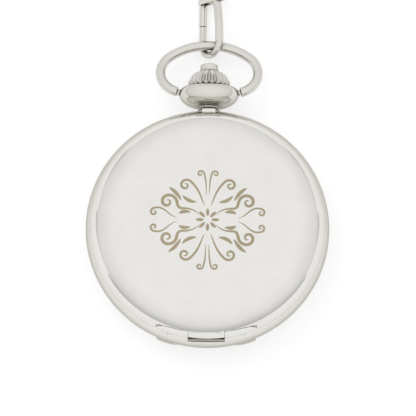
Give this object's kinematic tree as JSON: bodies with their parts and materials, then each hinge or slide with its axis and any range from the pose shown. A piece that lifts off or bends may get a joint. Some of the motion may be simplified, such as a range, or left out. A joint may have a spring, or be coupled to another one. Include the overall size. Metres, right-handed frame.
{
  "type": "hunter pocket watch",
  "caption": "Closed hunter pocket watch with hinged lid and back, fluted crown, oval bow, swivel clasp and a full hand-wound movement inside.",
  "frame": {"origin": "centre of the flat in the back cover, on the hands' axis", "axes": "+Z out of the dial, +Y to 12 o'clock and the crown, +X to 3 o'clock"},
  "size_m": [0.048, 0.0824, 0.0137],
  "materials": {
    "polished_case": "mirror-polished silver plate",
    "polished_fittings": "polished silver plate",
    "hinge_steel": "fine turned steel",
    "blued_steel": "heat-blued polished steel",
    "winding_steel": "snailed steel",
    "spring_steel": "satin spring steel",
    "brass_wheels": "circular-grained brass",
    "gilt_plates": "striped gilt brass",
    "balance_brass": "polished gilt brass",
    "ruby": "polished synthetic ruby",
    "dial_enamel": "glossy white enamel",
    "dial_black": "glossy black enamel",
    "crystal_glass": "clear polished",
    "gasket_rubber": "matt",
    "ring_metal": "fine circular grain"
  },
  "bodies": {
    "case": {"case_middle": "polished_case", "pendant_boss": "polished_fittings", "front_hinge_pin": "hinge_steel", "back_hinge_pin": "hinge_steel", "bezel": "polished_case", "crystal": "crystal_glass", "crystal_gasket": "gasket_rubber", "dial_ring": "ring_metal", "lock_spring": "blued_steel", "movement_ring": "ring_metal", "case_screws": "blued_steel", "click_spring": "blued_steel", "main_plate": "gilt_plates", "barrel_bridge": "gilt_plates", "train_bridge": "gilt_plates", "pallet_bridge": "gilt_plates", "balance_cock": "gilt_plates", "regulator": "winding_steel", "jewels": "ruby", "bridge_screws": "blued_steel", "dial": "dial_enamel", "dial_markers": "dial_black", "hairspring": "blued_steel"},
    "lid": {"front_lid": "polished_case"},
    "back": {"back_cover": "polished_case"},
    "stem_slide": {"stem_clip": "spring_steel"},
    "winding_crown": {"crown": "polished_fittings", "crown_cap": "polished_fittings", "stem": "winding_steel"},
    "winding_gear": {"winding_pinion": "winding_steel"},
    "clutch_gear": {"sliding_pinion": "winding_steel"},
    "crown_gear": {"crown_wheel": "winding_steel", "crown_wheel_screw": "blued_steel"},
    "ratchet": {"ratchet_wheel": "winding_steel", "ratchet_screw": "blued_steel", "barrel_arbor": "winding_steel"},
    "click_pawl": {"click": "winding_steel"},
    "barrel": {"barrel_drum": "brass_wheels", "barrel_cover": "brass_wheels", "mainspring": "spring_steel"},
    "centre": {"centre_wheel": "brass_wheels", "cannon_pinion": "winding_steel", "minute_hand": "blued_steel"},
    "third": {"third_wheel": "brass_wheels"},
    "fourth": {"fourth_wheel": "brass_wheels", "seconds_hand": "blued_steel"},
    "escape": {"escape_wheel": "brass_wheels"},
    "pallets": {"pallet_fork": "winding_steel", "pallet_stones": "ruby"},
    "balance": {"balance_wheel": "balance_brass"},
    "minute_works": {"minute_wheel": "brass_wheels"},
    "hour_works": {"hour_wheel": "brass_wheels", "hour_hand": "blued_steel"},
    "bow_ring": {"bow": "polished_fittings"},
    "clasp": {"clasp_hook": "polished_fittings", "clasp_rivet": "hinge_steel", "clasp_spring": "spring_steel"},
    "gate": {"clasp_gate": "polished_fittings"},
    "swivel": {"swivel_eye": "polished_fittings"}
  },
  "joints": [
    {"name": "lid_hinge", "type": "hinge", "parent": "case", "child": "lid", "pos_m": [0, -0.0219, 0.0089], "axis": [1, 0, 0], "range_deg": [0, 95]},
    {"name": "back_hinge", "type": "hinge", "parent": "case", "child": "back", "pos_m": [0, -0.0219, 0.00335], "axis": [-1, 0, 0], "range_deg": [0, 90]},
    {"name": "crown_pull", "type": "slide", "parent": "case", "child": "stem_slide", "axis": [0, 1, 0], "range_m": [0, 0.0008]},
    {"name": "crown_spin", "type": "hinge", "parent": "stem_slide", "child": "winding_crown", "pos_m": [0, 0.03, 0.0056], "axis": [0, 1, 0], "continuous": true},
    {"name": "winding_gear_spin", "type": "hinge", "parent": "case", "child": "winding_gear", "pos_m": [0, 0.0162, 0.0056], "axis": [0, 1, 0], "continuous": true},
    {"name": "clutch_spin", "type": "hinge", "parent": "case", "child": "clutch_gear", "pos_m": [0, 0.0143, 0.0056], "axis": [0, 1, 0], "continuous": true},
    {"name": "crown_gear_spin", "type": "hinge", "parent": "case", "child": "crown_gear", "pos_m": [0, 0.013, 0.0024], "axis": [0, 0, 1], "continuous": true},
    {"name": "ratchet_spin", "type": "hinge", "parent": "case", "child": "ratchet", "pos_m": [-0.0074, 0.00428, 0.0024], "axis": [0, 0, 1], "continuous": true},
    {"name": "click_lift", "type": "hinge", "parent": "case", "child": "click_pawl", "pos_m": [-0.01144, 0.01187, 0.0024], "axis": [0, 0, 1], "range_deg": [0, 12]},
    {"name": "fourth_spin", "type": "hinge", "parent": "case", "child": "fourth", "pos_m": [0, -0.01, 0.004], "axis": [0, 0, -1], "continuous": true},
    {"name": "centre_spin", "type": "hinge", "parent": "case", "child": "centre", "pos_m": [0, 0, 0.004], "axis": [0, 0, -1], "continuous": true},
    {"name": "third_spin", "type": "hinge", "parent": "case", "child": "third", "pos_m": [-0.0027, -0.00619, 0.004], "axis": [0, 0, -1], "continuous": true},
    {"name": "escape_spin", "type": "hinge", "parent": "case", "child": "escape", "pos_m": [0.0044, -0.01, 0.004], "axis": [0, 0, -1], "continuous": true},
    {"name": "barrel_spin", "type": "hinge", "parent": "case", "child": "barrel", "pos_m": [-0.0074, 0.00428, 0.004], "axis": [0, 0, -1], "continuous": true},
    {"name": "minute_works_spin", "type": "hinge", "parent": "case", "child": "minute_works", "pos_m": [0.0016, 0.00277, 0.0074], "axis": [0, 0, -1], "continuous": true},
    {"name": "hour_spin", "type": "hinge", "parent": "case", "child": "hour_works", "pos_m": [0, 0, 0.0076], "axis": [0, 0, -1], "continuous": true},
    {"name": "pallet_rock", "type": "hinge", "parent": "case", "child": "pallets", "pos_m": [0.00685, -0.00794, 0.0048], "axis": [0, 0, 1], "range_deg": [-5, 5]},
    {"name": "balance_swing", "type": "hinge", "parent": "case", "child": "balance", "pos_m": [0.01007, -0.00524, 0.0038], "axis": [0, 0, 1], "range_deg": [-270, 270], "deforming": ["hairspring"]},
    {"name": "bow_swing", "type": "hinge", "parent": "case", "child": "bow_ring", "pos_m": [0, 0.0282, 0.0056], "axis": [1, 0, 0], "range_deg": [-75, 115]},
    {"name": "clasp_swing", "type": "hinge", "parent": "bow_ring", "child": "clasp", "pos_m": [0, 0.03882, 0.00275], "axis": [1, 0, 0], "range_deg": [-60, 60]},
    {"name": "gate_swing", "type": "hinge", "parent": "clasp", "child": "gate", "pos_m": [-0.00126, 0.0488, 0.00088], "axis": [-0.7604, 0, 0.6494], "range_deg": [0, 25]},
    {"name": "swivel_spin", "type": "hinge", "parent": "clasp", "child": "swivel", "pos_m": [0.0003, 0.0521, 0.0027], "axis": [0, 1, 0], "continuous": true}
  ],
  "couplings": [
    {"joint": "winding_gear_spin", "follows": "crown_spin", "ratio": 1},
    {"joint": "clutch_spin", "follows": "crown_spin", "ratio": 1},
    {"joint": "crown_gear_spin", "follows": "crown_spin", "ratio": 0.375},
    {"joint": "ratchet_spin", "follows": "crown_spin", "ratio": -0.3125},
    {"joint": "centre_spin", "follows": "fourth_spin", "ratio": 0.016667},
    {"joint": "third_spin", "follows": "fourth_spin", "ratio": -0.13333},
    {"joint": "escape_spin", "follows": "fourth_spin", "ratio": -10},
    {"joint": "barrel_spin", "follows": "fourth_spin", "ratio": -0.0020833},
    {"joint": "minute_works_spin", "follows": "fourth_spin", "ratio": -0.0055556},
    {"joint": "hour_spin", "follows": "fourth_spin", "ratio": 0.0013889}
  ]
}
